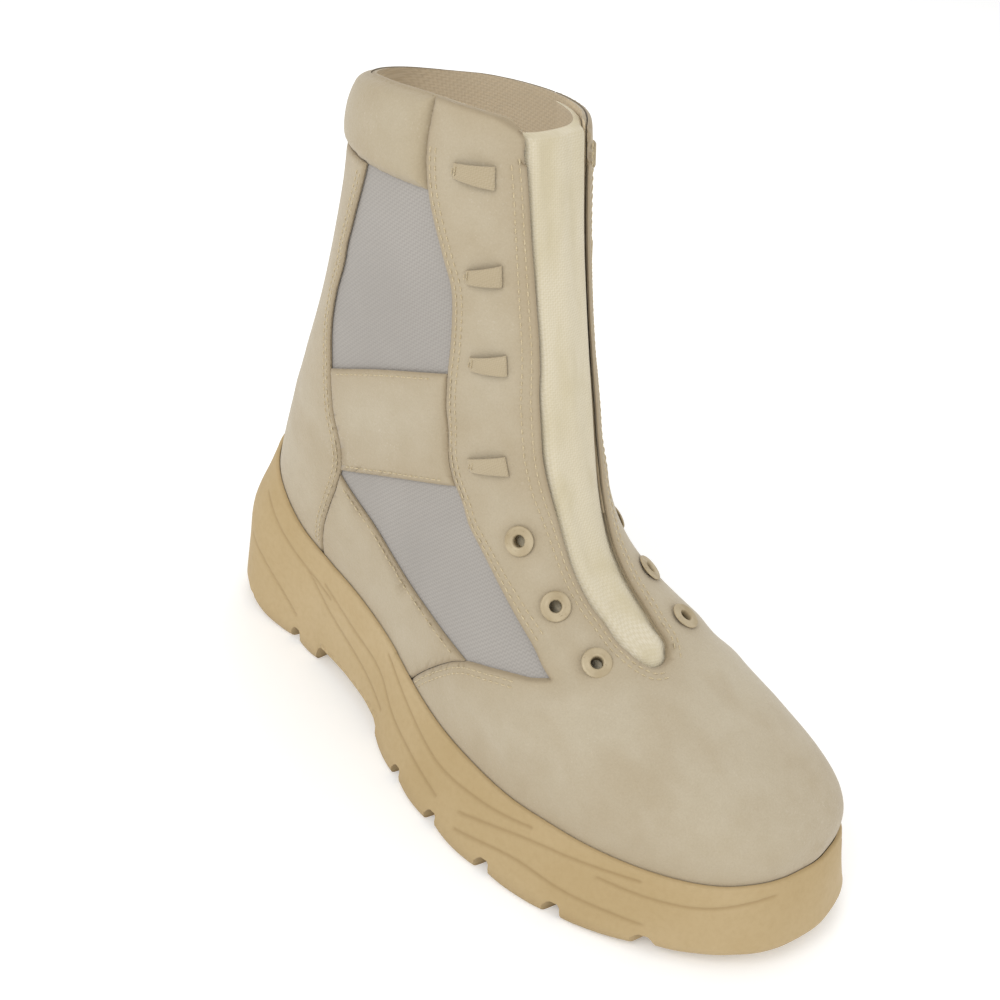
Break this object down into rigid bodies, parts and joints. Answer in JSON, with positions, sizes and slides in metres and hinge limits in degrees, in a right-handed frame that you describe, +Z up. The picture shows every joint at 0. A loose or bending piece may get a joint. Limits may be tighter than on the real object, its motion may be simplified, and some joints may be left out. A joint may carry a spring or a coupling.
{
  "type": "combat boot",
  "caption": "Right ankle combat boot, unlaced: textile upper with leather overlays, padded cuff, tongue, eyelets, lace loops and a lugged rubber sole unit.",
  "frame": {"origin": "under the middle of the boot's bounding box, on the floor", "axes": "+X from heel to toe, +Y to the inner side of the right foot, +Z up from the floor"},
  "size_m": [0.3126, 0.1178, 0.2687],
  "materials": {
    "rubber": "matt moulded rubber, tan",
    "canvas": "woven textile, grey",
    "footbed": "matt cloth-faced foam, brown",
    "lining": "soft padded textile, cream",
    "leather": "matt suede-like leather, sand",
    "padding": "soft padded leather, sand",
    "metal": "painted metal, sand"
  },
  "bodies": {
    "root": {"outsole": "rubber", "upper": "canvas", "insole": "footbed", "tongue": "lining", "vamp_eyestay": "leather", "counter_backstay": "leather", "collar_cuff": "padding", "ankle_band_outer": "leather", "ankle_band_inner": "leather", "quarter_outer": "leather", "quarter_inner": "leather", "eyelet_outer_1": "metal", "eyelet_outer_2": "metal", "eyelet_outer_3": "metal", "eyelet_inner_1": "metal", "eyelet_inner_2": "metal", "eyelet_inner_3": "metal", "lace_loop_outer_1": "leather", "lace_loop_outer_2": "leather", "lace_loop_outer_3": "leather", "lace_loop_outer_4": "leather", "lace_loop_inner_1": "leather", "lace_loop_inner_2": "leather", "lace_loop_inner_3": "leather", "lace_loop_inner_4": "leather"}
  },
  "joints": []
}
